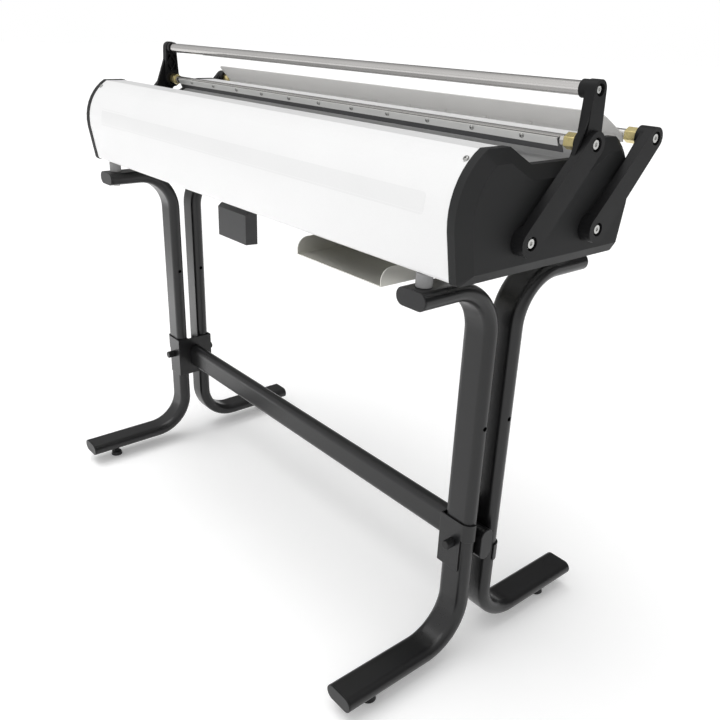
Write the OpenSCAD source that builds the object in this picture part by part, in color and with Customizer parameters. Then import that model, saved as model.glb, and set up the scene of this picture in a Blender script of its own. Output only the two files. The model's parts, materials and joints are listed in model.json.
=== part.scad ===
// Plan folding machine on a tubular stand: two coupled swinging levers tuck drawings
// into a shallow trough. X runs along the machine, +Y is the back, Z = 0 is the floor.

/* [Stand] */
// Distance of each pair of legs inward of the ends of the covers
leg_in = 60; // [15:5:175]
// Width of the flat-oval tube, along X on the legs
tube_w = 60; // [48:1:70]
// Thickness of the flat-oval tube
tube_t = 28; // [24:1:32]
// Wall of the tube
tube_wall = 2; // [1.5:0.5:3]
// Height of the centre line of the top tubes
leg_h = 718; // [630:1:790]
// Reach of the foot tubes from the middle plane, plugs included
foot_reach = 295; // [260:1:340]
// Reach of the top tubes from the middle plane, plugs included
top_reach = 188; // [178:1:215]
// Bend radius of the tubes at their centre line
bend_r = 85; // [60:1:100]
// Height of the accessory holes in the sides of the legs
hole_z = 475; // [410:1:550]
// Diameter of the accessory holes
hole_d = 8.5; // [6:0.5:11]
// Height of the centre line of the cross beam
beam_z = 240; // [216:1:320]
// Space between the beam and the tubes on each side of it
beam_clear = 2; // [1:0.5:4]
// How far the beam stands out past the legs
beam_out = 7; // [4:1:20]
// Height of the clamp brackets
bracket_h = 100; // [84:1:140]
// Sheet thickness of the clamp brackets
bracket_t = 3; // [2:0.5:4]
// Height of the lips of the clamp brackets
lip_h = 34; // [24:1:40]
// Diameter of the clamp knobs
knob_d = 17; // [12:0.5:20]
// Length of the clamp knobs
knob_len = 17; // [12:1:24]
// Clamp knob's place outward of the leg's centre line
knob_out = -2; // [-6:1:10]
// Clamp knob's place above the beam's centre line
knob_up = 4; // [-10:1:14]
// Floor to the underside of the foot tubes
glide_h = 26; // [20:1:50]
// Distance of the levelling feet from the middle plane
glide_y = 228; // [205:1:260]
// Diameter of the levelling feet
glide_d = 28; // [20:1:40]

/* [Housing] */
// Half length of the covers, between the end caps
cover_half = 575; // [560:5:640]
// Rubber buffers between stand and housing: height
buffer_h = 21.5; // [12:0.5:30]
// Rubber buffers: diameter
buffer_d = 25; // [18:1:30]
// Rubber buffers: distance from the middle plane
buffer_y = 163; // [158:1:165]
// Height of the housing, underside of the caps to their flat tops
housing_h = 177; // [170:1:185]
// Radius of the two round shoulders
lobe_r = 103; // [98:1:110]
// Distance of the shoulder centres from the middle plane
lobe_y = 87.5; // [80:0.5:100]
// Height of the shoulder centres above the underside
lobe_rise = 89; // [84:1:96]
// Lean of the lower sides, out going up
side_lean = 9.5; // [6:0.5:12]
// Radius of the lower corners of the housing
corner_r = 8; // [5:0.5:9]
// Half width of the trough floor
trough_half = 50; // [46:1:54]
// Depth of the trough below the flat tops
trough_depth = 26; // [24:1:32]
// Run of the trough slopes for each unit of rise
trough_run = 1.81; // [1.7:0.01:1.95]
// Sheet thickness of the trough
trough_t = 1.5; // [1:0.5:2]
// Sheet thickness of the covers
cover_t = 2; // [1.5:0.5:3]
// How far the covers lie inside the outline of the end caps
cover_set = 1.5; // [1:0.5:2.5]
// Width of the straight rim of the end caps
cap_rim = 14; // [10:1:20]
// Depth of the bevel of the end caps
cap_bevel = 15; // [12:1:18]
// Inset of the bevel of the end caps
cap_inset = 18; // [15:1:19]
// Outer wall of the end caps
cap_wall = 4; // [3:0.5:5]
// Thickness of the steel side plates
plate_t = 4; // [3:0.5:6]

/* [Tray and block] */
// Left wall of the tray
tray_x = 231; // [150:1:240]
// Width of the tray
tray_w = 210; // [150:1:215]
// Height of the tray below the covers
tray_h = 40; // [30:1:60]
// Front edge of the tray, in front of the middle plane
tray_front = 178; // [160:1:190]
// Back wall of the tray, in front of the middle plane
tray_back = 42; // [30:1:70]
// Height of the tray's walls in front of the housing's foot
tray_wall_h = 28.5; // [24:0.5:29]
// Sheet thickness of the tray
tray_t = 1.5; // [1:0.5:2]
// Left end of the grip block, at its back
block_x = -90.5; // [-200:0.5:0]
// Length of the grip block at its back
block_w = 109; // [84:1:134]
// How much the ends of the grip block draw in toward its front
block_flare = 4.5; // [2:0.5:8]
// Height of the grip block
block_h = 62.5; // [50:0.5:76]
// Thickness of the grip block
block_t = 23; // [16:1:30]
// Front face of the grip block, in front of the middle plane
block_front = 142; // [125:1:145]
// Space above the grip block
block_drop = 17.5; // [14:0.5:40]

/* [Levers] */
// Distance of the pivots from the middle plane
pivot_y = 75; // [70:1:85]
// Height of the pivots above the underside of the caps
pivot_rise = 53.5; // [50:0.5:58]
// Length of the arms, pivot to rod
arm_len = 168; // [166:1:176]
// Lean of the arms to the back at rest
arm_lean = 43.5; // [41:0.5:44]
// Radius of the arms round the pivots
pivot_boss_r = 20; // [18:0.5:24]
// Radius of the front arms round their rod
rod_boss_r = 18; // [14:0.5:19]
// Radius of the rear arms round their rod
rear_boss_r = 16.5; // [13:0.5:18]
// Thickness of the limbs of the arms
arm_t = 14; // [10:1:16]
// Length of the pivot hubs of the arms
hub_len = 20.5; // [18:0.5:26]
// Space between the hubs and the end caps
hub_clear = 0.5; // [0.3:0.1:1.5]
// Diameter of the pivot shafts
shaft_d = 16; // [14:1:20]
// Diameter of the blade rods
rod_d = 16; // [14:1:20]
// Length of the brass hex sleeves
sleeve_len = 22; // [14:1:22]
// Width across the flats of the brass hex sleeves
sleeve_af = 21; // [19:1:26]
// Handle bar above the front rod
handle_rise = 70.6; // [64:0.1:90]
// Diameter of the handle bar
bar_d = 20; // [16:1:25]
// Width of the handle posts
post_w = 27; // [25:1:32]
// Thickness of the handle posts
post_t = 16; // [12:1:17]
// How far the posts stand in from the outer faces of the limbs
post_step = 7; // [4:1:9]
// Thickness of the front blade
blade_t = 1; // [0.8:0.1:1.5]
// Space between the ends of the front blade and the sleeves
blade_gap = 9; // [4:1:36]
// Width of the front blade
blade_w = 23; // [16:0.5:23.5]
// Thickness of the clamp strip on the front blade
strip_t = 2.5; // [2:0.5:3]
// How much shorter the clamp strip is than the front blade, at each end
strip_in = 5; // [1:1:30]
// Width of the clamp strip
strip_w = 12; // [10:0.5:14]
// Sheet thickness of the rear guide plate
guide_t = 1.5; // [1:0.5:2]
// Space between the ends of the rear guide plate's bend and the sleeves
guide_gap = 4; // [2:1:30]
// Width of the rear guide plate above its bend
guide_w = 49; // [40:1:50]
// Number of screws along each blade
screw_count = 11; // [7:2:13]
// Spacing of the screws along each blade
screw_pitch = 99.5; // [80:0.5:100]
// Length of the cranks on the pivot shafts
crank_len = 28; // [26:0.5:30]

/* [Hidden] */
$fn = 48;
// Running clearance round shafts and pins, and fitting clearance of fixed pieces
run_clear = 0.3;
fit_clear = 0.1;

// Heights and stations of the stand
leg_x = cover_half - leg_in;
tube_edge = (tube_w - tube_t) / 2;
foot_z = glide_h + tube_t / 2;
tube_y = tube_t + beam_clear;
seat_z = leg_h + tube_t / 2;
plug_t = 3;
plug_in = 12;
knob_stud_d = 8;
beam_half = leg_x + tube_w / 2 + beam_out;

// Heights and stations of the housing
base_z = seat_z + buffer_h - cover_set;
sheet_z = base_z + cover_set;
top_z = base_z + housing_h;
lobe_z = base_z + lobe_rise;
floor_z = top_z - trough_depth;
rim_x = cover_half + cap_rim;
face_x = rim_x + cap_bevel;
trough_top = trough_half + trough_run * trough_depth;
notch_grow = 0.67;
trough_low = floor_z - cover_set - trough_t / 2;
trough_high = top_z - cover_set - cover_t - trough_t / 2;
trough_edge = trough_half + trough_run * (trough_high - trough_low);
trough_lip = trough_edge + 14;
flange_y = 148;
pan_flange = 15;
pan_t = 3;

// Stations of the levers, as [y, z] points in the plane of the arms
pivot_z = base_z + pivot_rise;
arm_x = face_x + hub_clear + hub_len;
front_pivot = [-pivot_y, pivot_z];
rear_pivot = [pivot_y, pivot_z];
arm_dir = [sin(arm_lean), cos(arm_lean)];
front_rod_at = front_pivot + arm_len * arm_dir;
rear_rod_at = rear_pivot + arm_len * arm_dir;
bar_at = front_rod_at + [0, handle_rise];
limb_x = arm_x - arm_t;
post_x = arm_x - post_step - post_t;
boss_len = 27;
boss_x = arm_x - boss_len;
sleeve_x = boss_x - sleeve_len;
bar_boss_len = 35;
bar_boss_x = arm_x - bar_boss_len;
bar_boss_d = bar_d + 5;
bar_seat = 9;
bar_end = bar_boss_x + bar_seat;
stud_d = rod_d - 4;

// Screws of the arms, and the small ones of the covers, the tray and the grip block
screw_d = 8;
bar_screw_d = 6;
small_screw_d = 4;
pivot_screw_len = 22;
rod_screw_len = 26;
tap_clear = 0.2;
tap_spare = 2;
washer_t = 1.2;
counterbore_d = 20;
bar_counterbore_d = 17;
counterbore_h = 7;
shaft_end = arm_x - counterbore_h - 4;
stud_end = arm_x - counterbore_h - 6;

// The blade and the guide plate end short of the sleeves and lie on flats milled on the fronts of the rods
blade_half = sleeve_x - blade_gap;
strip_half = blade_half - strip_in;
guide_half = sleeve_x - guide_gap;
front_flat = rod_d / 2 - 6.5;
rear_flat = rod_d / 2 - 1.5;
sheet_lean = 25;
sheet_front = [-cos(sheet_lean), -sin(sheet_lean)];
sheet_down = [sin(sheet_lean), -cos(sheet_lean)];
sheet_rise = 4;
guide_flange = 13;
guide_slope = 39.6;
guide_taper = 16;
guide_round = 18;
blade_screw_d = 4;

// Cranks and links inside the end caps
crank_t = 8;
crank_x = cover_half + 3;
link_t = 6;
link_at = crank_x + crank_t + 1;
pin_d = 8;
link_r = 8.5;
crank_dir = -arm_dir;

// Helpers

function unit(v) = v / norm(v);
function left_of(v) = [-v.y, v.x];

// Corner of a sheet of half thickness h beside point i of its middle line
function sheet_corner(pts, i, h) =
    i == 0 ? pts[0] + h * left_of(unit(pts[1] - pts[0])) :
    i == len(pts) - 1 ? pts[i] + h * left_of(unit(pts[i] - pts[i - 1])) :
    let (a = left_of(unit(pts[i] - pts[i - 1])),
         b = left_of(unit(pts[i + 1] - pts[i])),
         m = unit(a + b))
    pts[i] + h / (m * a) * m;

// Section of a bent sheet of thickness t along its middle line
module sheet_2d(pts, t) {
    last = len(pts) - 1;
    polygon(concat([for (i = [0:last]) sheet_corner(pts, i, t / 2)],
                   [for (i = [last:-1:0]) sheet_corner(pts, i, -t / 2)]));
}

// Extrudes a section drawn in the Y-Z plane along X
module along_x(x, len) {
    translate([x, 0, 0]) rotate([90, 0, 90]) linear_extrude(len) children();
}

// Cylinder along X from x to x + len, through the [y, z] point at
module rod_x(at, d, x, len) {
    translate([x, at.x, at.y]) rotate([0, 90, 0]) cylinder(d = d, h = len);
}

// Places the children at both ends of the machine
module both_ends() {
    children();
    mirror([1, 0, 0]) children();
}

// Places the children in front of and behind the middle plane
module both_sides() {
    children();
    mirror([0, 1, 0]) children();
}

// Flat oval, w along X and t along Y
module oval_2d(w, t) {
    square([w - t, t], center = true);
    for (s = [-1, 1]) translate([s * (w - t) / 2, 0]) circle(d = t);
}

// Flat link round two [y, z] points, from x to x + len
module link_x(p, rp, q, rq, x, len) {
    d = q - p;
    a = atan2(d.y, d.x);
    b = acos((rp - rq) / norm(d));
    up = [cos(a + b), sin(a + b)];
    down = [cos(a - b), sin(a - b)];
    along_x(x, len) polygon([p, p + rp * up, q + rq * up, q, q + rq * down, p + rp * down]);
    rod_x(p, 2 * rp, x, len);
    rod_x(q, 2 * rq, x, len);
}

// Stand

// One leg tube in front of the middle plane, of section w by t, with its ends drawn out by extra
module leg_path(w, t, extra) {
    far = tube_y + bend_r;
    low = foot_z + bend_r;
    high = leg_h - bend_r;
    translate([leg_x, -tube_y, low]) linear_extrude(high - low) oval_2d(w, t);
    for (end = [[low, foot_reach, -90], [high, top_reach, 0]])
        translate([leg_x, -far, end[0]]) {
            rotate([90, 0, 90]) rotate(end[2]) rotate_extrude(angle = 90)
                translate([bend_r, 0]) rotate(90) oval_2d(w, t);
            translate([0, 0, end[2] < 0 ? -bend_r : bend_r]) rotate([90, 0, 0])
                linear_extrude(end[1] - plug_t - far + extra) oval_2d(w, t);
        }
}

// Front right leg with the holes of its fittings
module leg() {
    color("#2b2b2d") difference() {
        leg_path(tube_w, tube_t, 0);
        leg_path(tube_w - 2 * tube_wall, tube_t - 2 * tube_wall, 1);
        rod_x([-tube_y, hole_z], hole_d, leg_x - tube_w, 2 * tube_w);
        translate([leg_x, -glide_y, 0]) cylinder(d = 14, h = foot_z);
        translate([leg_x, -buffer_y, leg_h - tube_t]) cylinder(d = screw_d + 1, h = 2 * tube_t);
        translate([leg_x + knob_out, -tube_y, beam_z + knob_up]) rotate([90, 0, 0])
            cylinder(d = knob_stud_d + 1, h = tube_t);
    }
}

module front_right_leg() leg();
module front_left_leg() mirror([1, 0, 0]) leg();
module rear_right_leg() mirror([0, 1, 0]) leg();
module rear_left_leg() mirror([1, 0, 0]) mirror([0, 1, 0]) leg();

// Plug of a tube's end: a head of the tube's outline and a stem inside it, along +Z
module end_plug() {
    inner = 2 * (tube_wall + fit_clear);
    linear_extrude(plug_t) oval_2d(tube_w, tube_t);
    translate([0, 0, -plug_in]) linear_extrude(plug_in) oval_2d(tube_w - inner, tube_t - inner);
}

module leg_end_plugs() {
    color("#3a3a3c") both_ends() both_sides()
        for (end = [[foot_reach, foot_z], [top_reach, leg_h]])
            translate([leg_x, plug_t - end[0], end[1]]) rotate([90, 0, 0]) end_plug();
}

module cross_beam() {
    color("#2b2b2d") difference() {
        translate([-beam_half + plug_t, 0, beam_z]) rotate([0, 90, 0])
            linear_extrude(2 * (beam_half - plug_t)) oval_2d(tube_w, tube_t);
        translate([-beam_half, 0, beam_z]) rotate([0, 90, 0])
            linear_extrude(2 * beam_half) oval_2d(tube_w - 2 * tube_wall, tube_t - 2 * tube_wall);
    }
}

module beam_end_plugs() {
    color("#4a4a4c") both_ends()
        translate([beam_half - plug_t, 0, beam_z]) rotate([0, 90, 0]) end_plug();
}

// Right clamp bracket: a plate round the beam, two flanges on the tubes and two lips round their edges
module right_bracket() {
    plate_x = leg_x - tube_w / 2 - run_clear - bracket_t;
    flange_in = tube_y + tube_t / 2 + run_clear;
    low = beam_z - bracket_h / 2;
    color("#333335") difference() {
        union() {
            translate([plate_x, -flange_in, low])
                cube([bracket_t, 2 * flange_in, bracket_h]);
            both_sides() translate([plate_x, -flange_in - bracket_t, low])
                cube([leg_x + tube_edge - plate_x, bracket_t, bracket_h]);
            translate([0, 0, low + bracket_h - lip_h]) bracket_lip();
            translate([0, 0, low]) mirror([0, 1, 0]) bracket_lip();
        }
        translate([plate_x - 1, 0, beam_z]) rotate([0, 90, 0])
            linear_extrude(bracket_t + 2) oval_2d(tube_w + 2 * fit_clear, tube_t + 2 * fit_clear);
        both_sides() translate([leg_x + knob_out, -flange_in + 1, beam_z + knob_up])
            rotate([90, 0, 0]) cylinder(d = knob_stud_d + 1, h = bracket_t + 2);
    }
}

module left_bracket() mirror([1, 0, 0]) right_bracket();

// Lip of a bracket, bent round the outer edge of the front tube
module bracket_lip() {
    wrap = 98;
    translate([leg_x + tube_edge, -tube_y, 0]) rotate(-90) rotate_extrude(angle = wrap)
        translate([tube_t / 2 + run_clear, 0]) square([bracket_t, lip_h]);
}

// Clamp knob with its threaded stud, front right
module knob() {
    seat_y = tube_y + tube_t / 2 + bracket_t + 2 * run_clear;
    stud_len = bracket_t + 12;
    rim = 1;
    color("#1d1d1f") translate([leg_x + knob_out, -seat_y, beam_z + knob_up])
        rotate([90, 0, 0]) {
            cylinder(d = knob_d, h = knob_len - rim);
            translate([0, 0, knob_len - rim]) cylinder(d1 = knob_d, d2 = knob_d - 2 * rim, h = rim);
            translate([0, 0, -stud_len]) cylinder(d = knob_stud_d, h = stud_len + 1);
        }
}

module front_right_knob() knob();
module front_left_knob() mirror([1, 0, 0]) knob();
module rear_right_knob() mirror([0, 1, 0]) knob();
module rear_left_knob() mirror([1, 0, 0]) mirror([0, 1, 0]) knob();

// Levelling foot: a round pad with a threaded spindle and a lock nut, front right
module foot() {
    pad_h = 9;
    nut_h = 6;
    color("#1d1d1f") translate([leg_x, -glide_y, 0]) {
        cylinder(d1 = glide_d, d2 = glide_d - 4, h = pad_h);
        cylinder(d = 8, h = glide_h + 8);
        translate([0, 0, pad_h]) cylinder(d = 15, h = nut_h, $fn = 6);
    }
}

module front_right_foot() foot();
module front_left_foot() mirror([1, 0, 0]) foot();
module rear_right_foot() mirror([0, 1, 0]) foot();
module rear_left_foot() mirror([1, 0, 0]) mirror([0, 1, 0]) foot();

// Flanged threaded inserts that hold the levelling feet
module foot_inserts() {
    color("#8f8f90") both_ends() both_sides()
        translate([leg_x, -glide_y, glide_h]) difference() {
            union() {
                translate([0, 0, -2]) cylinder(d = 20, h = 2);
                cylinder(d = 14 - 2 * fit_clear, h = 12);
            }
            translate([0, 0, -3]) cylinder(d = 8 + 2 * run_clear, h = 16);
        }
}

module rubber_buffers() {
    color("#9a9a9a") both_ends() both_sides()
        translate([leg_x, -buffer_y, seat_z]) difference() {
            cylinder(d = buffer_d, h = buffer_h);
            translate([0, 0, -1]) cylinder(d = screw_d + 1, h = buffer_h + 2);
        }
}

// Bolts through the top tubes and the buffers into the base of the housing
module housing_bolts() {
    head_h = 5;
    color("#77777a") both_ends() both_sides() translate([leg_x, -buffer_y, leg_h - tube_t / 2]) {
        translate([0, 0, -head_h]) cylinder(d = 14, h = head_h);
        cylinder(d = screw_d, h = tube_t + buffer_h + 2 * cover_t);
    }
}

// Housing

// The housing's outline set in by d: radius of its lower corners, [y, z] point where a lower side
// meets its shoulder, and distance of the corners' centres from the middle plane
function round_r(d) = max(corner_r - d, 1);
function side_at(d) = [lobe_y, lobe_z] + (lobe_r - d) * [cos(side_lean), -sin(side_lean)];
function corner_y(d) = side_at(d).x - (side_at(d).y - base_z - d) * tan(side_lean)
                       + round_r(d) * (tan(side_lean) - 1 / cos(side_lean));

// Body of the housing's outline without its trough, set in by d, from x to x + len
module outline(d, x, len) {
    r = lobe_r - d;
    low = base_z + d;
    side = side_at(d);
    corner = [corner_y(d), low + round_r(d)];
    foot = corner + round_r(d) * [cos(side_lean), -sin(side_lean)];
    difference() {
        union() {
            along_x(x, len)
                polygon([[-corner.x, low], [-foot.x, foot.y], [-side.x, side.y], [-lobe_y, lobe_z],
                         [-lobe_y, lobe_z + r], [lobe_y, lobe_z + r], [lobe_y, lobe_z], side, foot,
                         [corner.x, low]]);
            for (s = [-1, 1]) {
                rod_x([s * corner.x, corner.y], 2 * round_r(d), x, len);
                difference() {
                    rod_x([s * lobe_y, lobe_z], 2 * r, x, len);
                    translate([x - 1, -2 * lobe_r, lobe_z - 2 * r]) cube([len + 2, 4 * lobe_r, 1.5 * r]);
                }
            }
        }
        translate([x - 1, -2 * lobe_r, top_z - d]) cube([len + 2, 4 * lobe_r, lobe_r]);
    }
}

// Trough outline, sunk by d into the housing and open at the top
module trough_2d(d) {
    half = trough_half + notch_grow * d;
    rise = 2 * trough_depth + d;
    wide = half + trough_run * rise;
    translate([0, floor_z - d]) polygon([[-half, 0], [half, 0], [wide, rise], [-wide, rise]]);
}

// Moulded right end cap: bevelled outside, hollow inside, open for the shafts
module right_end_cap() {
    skin = 0.02;
    pocket_x = face_x - cap_wall;
    step_x = rim_x + cap_bevel / 3;
    color("#2e2e30") difference() {
        hull() {
            outline(0, cover_half, cap_rim);
            outline(cap_inset, face_x - skin, skin);
        }
        along_x(cover_half - 1, cap_rim + 1) trough_2d(0);
        hull() {
            along_x(rim_x, skin) trough_2d(0);
            along_x(face_x, skin) trough_2d(cap_inset);
        }
        cap_pocket(cap_inset / 2, step_x);
        cap_pocket(cap_inset, pocket_x);
        for (at = [front_pivot, rear_pivot])
            rod_x(at, shaft_d + 4, pocket_x - 1, cap_wall + 2);
    }
}

// Pocket in the end cap at inset d, out to x
module cap_pocket(d, x) {
    difference() {
        outline(d, cover_half - 1, x - cover_half + 1);
        along_x(cover_half - 2, x - cover_half + 3) trough_2d(d);
    }
}

module left_end_cap() mirror([1, 0, 0]) right_end_cap();

// Right side plate, a pan whose rim carries the covers
module right_side_plate() {
    gap = cover_set + cover_t + fit_clear;
    color("#8d8f92") difference() {
        plate_body(gap, cover_half - pan_flange, pan_flange);
        plate_body(gap + pan_t, cover_half - pan_flange - 1, pan_flange + 1 - plate_t);
        for (at = [front_pivot, rear_pivot])
            rod_x(at, bush_d + 2 * fit_clear, cover_half - pan_flange, pan_flange + 1);
        both_sides() cover_screw(0) cylinder(d = small_screw_d + 2 * fit_clear, h = 30, center = true);
    }
}

// Body of the side plates, under the covers and the trough sheet and above the base plate
module plate_body(d, x, len) {
    low = base_z + d + cover_t;
    lip = trough_lip + d;
    difference() {
        outline(d, x, len);
        along_x(x - 1, len + 2) trough_2d(d + trough_t);
        translate([x - 1, -lip, top_z - d - trough_t]) cube([len + 2, 2 * lip, d + 2 * trough_t]);
        translate([x - 1, -2 * lobe_r, base_z]) cube([len + 2, 4 * lobe_r, low - base_z]);
    }
}

module left_side_plate() mirror([1, 0, 0]) right_side_plate();

// Flanged bushes of the pivot shafts in the side plates
bush_d = shaft_d + 6;
module pivot_bushes() {
    bush_x = cover_half - plate_t - 4;
    color("#b08d57") both_ends() for (at = [front_pivot, rear_pivot]) difference() {
        union() {
            rod_x(at, bush_d, bush_x, plate_t + 6);
            rod_x(at, bush_d + 6, cover_half, 2);
        }
        rod_x(at, shaft_d + 2 * run_clear, bush_x - 1, plate_t + 8);
    }
}

// Front cover: one bent sheet with a foot below and a flat top
module front_cover() {
    far = 2 * lobe_r;
    color("#f4f4f4") difference() {
        intersection() {
            outline(cover_set, -cover_half, 2 * cover_half);
            along_x(-far * 4, far * 8)
                polygon([[-far, base_z], [-flange_y, base_z], [-flange_y, lobe_z], [-trough_top, lobe_z],
                         [-trough_top, top_z], [-far, top_z]]);
        }
        outline(cover_set + cover_t, -cover_half - 1, 2 * cover_half + 2);
        both_ends() cover_screw(0) cylinder(d = small_screw_d + 2 * fit_clear, h = 30, center = true);
        both_ends() translate([leg_x, -buffer_y, base_z]) cylinder(d = screw_d + 1, h = 10);
    }
}

module rear_cover() mirror([0, 1, 0]) front_cover();

// Place and direction of the front right cover screw, raised by up from the cover's face
module cover_screw(up) {
    turn = 43;
    translate([cover_half - 7, -lobe_y, lobe_z]) rotate([turn, 0, 0])
        translate([0, 0, lobe_r - cover_set + up]) children();
}

module cover_screws() {
    color("#c9c9c9") both_ends() both_sides() cover_screw(0) {
        cylinder(d1 = 9, d2 = 6, h = 1.4);
        translate([0, 0, -8]) cylinder(d = small_screw_d, h = 9);
    }
}

// Base plate on the feet of the covers
module base_plate() {
    half = corner_y(cover_set + cover_t) - fit_clear;
    color("#b9bbbd") difference() {
        translate([-cover_half + pan_flange, -half, sheet_z + cover_t])
            cube([2 * (cover_half - pan_flange), 2 * half, cover_t]);
        both_ends() both_sides() translate([leg_x, -buffer_y, base_z])
            cylinder(d = screw_d + tap_clear, h = 12);
        for (at = concat(tray_screw_at, hanger_screw_at))
            translate([at.x, at.y, base_z]) cylinder(d = small_screw_d + 1, h = 12);
    }
}

// Trough sheet between the covers, its lips under their flat tops
module trough_sheet() {
    color("#c4c6c8") along_x(-cover_half, 2 * cover_half)
        sheet_2d([[-trough_lip, trough_high], [-trough_edge, trough_high], [-trough_half, trough_low],
                  [trough_half, trough_low], [trough_edge, trough_high], [trough_lip, trough_high]],
                 trough_t);
}

// Tie rods between the side plates
module tie_rods() {
    color("#a9abad") both_sides()
        rod_x([-pivot_y - 50, pivot_z - 10], 12, plate_t - cover_half, 2 * (cover_half - plate_t));
}

// Blank raised strip on the front cover: a plate at the left and a band with a round end
module label_strip() {
    label_t = 1;
    low = lobe_z - 15;
    plate_h = 60;
    band_low = lobe_z - 2;
    band_h = 30;
    left = 67 - cover_half;
    band_left = left + 125;
    right = cover_half - 45;
    r = lobe_r - cover_set;
    color("#ececec") intersection() {
        along_x(left, right - left) difference() {
            translate([-lobe_y, lobe_z]) circle(r + label_t);
            translate([-lobe_y, lobe_z]) circle(r);
        }
        translate([0, -lobe_y, 0]) rotate([90, 0, 0]) linear_extrude(2 * lobe_r) {
            translate([left, low]) square([band_left - left, plate_h]);
            translate([band_left - 1, band_low]) square([right - band_left + 1 - band_h / 2, band_h]);
            translate([right - band_h / 2, band_low + band_h / 2]) circle(d = band_h);
        }
    }
}

// Tray and grip block under the housing

tray_corner_r = 20;
tray_flange = 16;
tray_flange_front = flange_y - 2;
tray_screw_in = 20;
tray_screw_at = [for (x = [tray_x - tray_flange / 2, tray_x + tray_w + tray_flange / 2])
                 for (y = [tray_screw_in - tray_flange_front, -tray_back - tray_screw_in]) [x, y]];

// Sheet tray, open to the front, its walls lower and round in front of the housing's foot
module tray() {
    low = sheet_z - tray_h;
    high = sheet_z + cover_t;
    round_at = [tray_corner_r - tray_front, low + tray_wall_h - tray_corner_r];
    color("#b7b4ac") difference() {
        union() {
            translate([tray_x, -tray_front, low]) cube([tray_w, tray_front - tray_back, tray_t]);
            translate([tray_x, -tray_back - tray_t, low]) cube([tray_w, tray_t, tray_h]);
            for (x = [tray_x, tray_x + tray_w - tray_t]) {
                translate([x, -tray_flange_front, low])
                    cube([tray_t, tray_flange_front - tray_back, high - low]);
                along_x(x, tray_t)
                    polygon([[-tray_front, low], [-tray_back, low], [-tray_back, low + tray_wall_h],
                             [round_at.x, low + tray_wall_h], round_at, [-tray_front, round_at.y]]);
                intersection() {
                    rod_x(round_at, 2 * tray_corner_r, x, tray_t);
                    translate([x - 1, -tray_front - 1, round_at.y])
                        cube([tray_t + 2, tray_corner_r + 1, tray_corner_r + 1]);
                }
            }
            for (x = [tray_x - tray_flange, tray_x + tray_w])
                translate([x, -tray_flange_front, high - tray_t])
                    cube([tray_flange, tray_flange_front - tray_back, tray_t]);
        }
        for (at = tray_screw_at)
            translate([at.x, at.y, low]) cylinder(d = small_screw_d + 2 * tap_clear, h = 2 * tray_h);
    }
}

// Pan-head screw pointing up, its head under z = 0
module up_screw(d, len) {
    translate([0, 0, -d / 2]) cylinder(d1 = 1.6 * d, d2 = 2 * d, h = d / 2);
    cylinder(d = d, h = len);
}

module tray_screws() {
    color("#c9c9c9") for (at = tray_screw_at)
        translate([at.x, at.y, sheet_z + cover_t - tray_t]) up_screw(small_screw_d, 2 * small_screw_d);
}

block_top = sheet_z - block_drop;
hanger_w = 60;
hanger_t = 2;
hanger_x = block_x + block_w / 2;
hanger_y = block_t - block_front;
hanger_screw_in = 18;
hanger_reach = 30;
hanger_screw_at = [for (s = [-1, 1]) [hanger_x + s * hanger_screw_in, hanger_y + hanger_screw_in]];
block_screw_at = [for (s = [-1, 1]) [hanger_x + s * hanger_screw_in, block_top - block_h / 2]];
block_screw_len = 12;

// Grip block: ends drawn in toward the front, top front edge cut off
module grip_block() {
    cut_y = 8;
    cut_z = 6;
    low = block_top - block_h;
    front = [block_x + block_flare, block_x + block_w - block_flare];
    color("#2c2c2e") difference() {
        intersection() {
            along_x(block_x - 1, block_w + 2)
                polygon([[-block_front, low], [hanger_y, low], [hanger_y, block_top],
                         [cut_y - block_front, block_top], [-block_front, block_top - cut_z]]);
            translate([0, 0, low - 1]) linear_extrude(block_h + 2)
                polygon([[block_x, hanger_y], [front[0], -block_front], [front[1], -block_front],
                         [block_x + block_w, hanger_y]]);
        }
        for (at = block_screw_at) translate([at.x, hanger_y + 1, at.y]) rotate([90, 0, 0])
            cylinder(d = small_screw_d + tap_clear, h = block_screw_len + 1);
    }
}

// Angle that carries the block under the base plate
module block_hanger() {
    high = sheet_z + cover_t;
    hole_d = small_screw_d + 2 * tap_clear;
    color("#55565a") difference() {
        along_x(hanger_x - hanger_w / 2, hanger_w)
            sheet_2d([[hanger_y + hanger_t / 2, block_top - 0.7 * block_h],
                      [hanger_y + hanger_t / 2, high - hanger_t / 2],
                      [hanger_y + hanger_reach, high - hanger_t / 2]], hanger_t);
        for (at = hanger_screw_at)
            translate([at.x, at.y, high - 2 * hanger_t]) cylinder(d = hole_d, h = 4 * hanger_t);
        for (at = block_screw_at) translate([at.x, hanger_y + 2 * hanger_t, at.y]) rotate([90, 0, 0])
            cylinder(d = hole_d, h = 4 * hanger_t);
    }
}

module hanger_screws() {
    color("#c9c9c9") {
        for (at = hanger_screw_at)
            translate([at.x, at.y, sheet_z + cover_t - hanger_t])
                up_screw(small_screw_d, 2 * small_screw_d);
        for (at = block_screw_at)
            translate([at.x, hanger_y + hanger_t, at.y]) rotate([90, 0, 0])
                up_screw(small_screw_d, block_screw_len);
    }
}

// Levers

// Outer counterbore, screw hole and inner bore of an arm round the [y, z] point at
module arm_bore(at, outer_x, inner_x, bore_d, bore_end) {
    rod_x(at, counterbore_d, outer_x - counterbore_h, counterbore_h + 1);
    rod_x(at, screw_d + 2 * tap_clear, bore_end - 1, outer_x - bore_end);
    rod_x(at, bore_d + 2 * fit_clear, inner_x - 1, bore_end - inner_x + 1);
}

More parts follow.
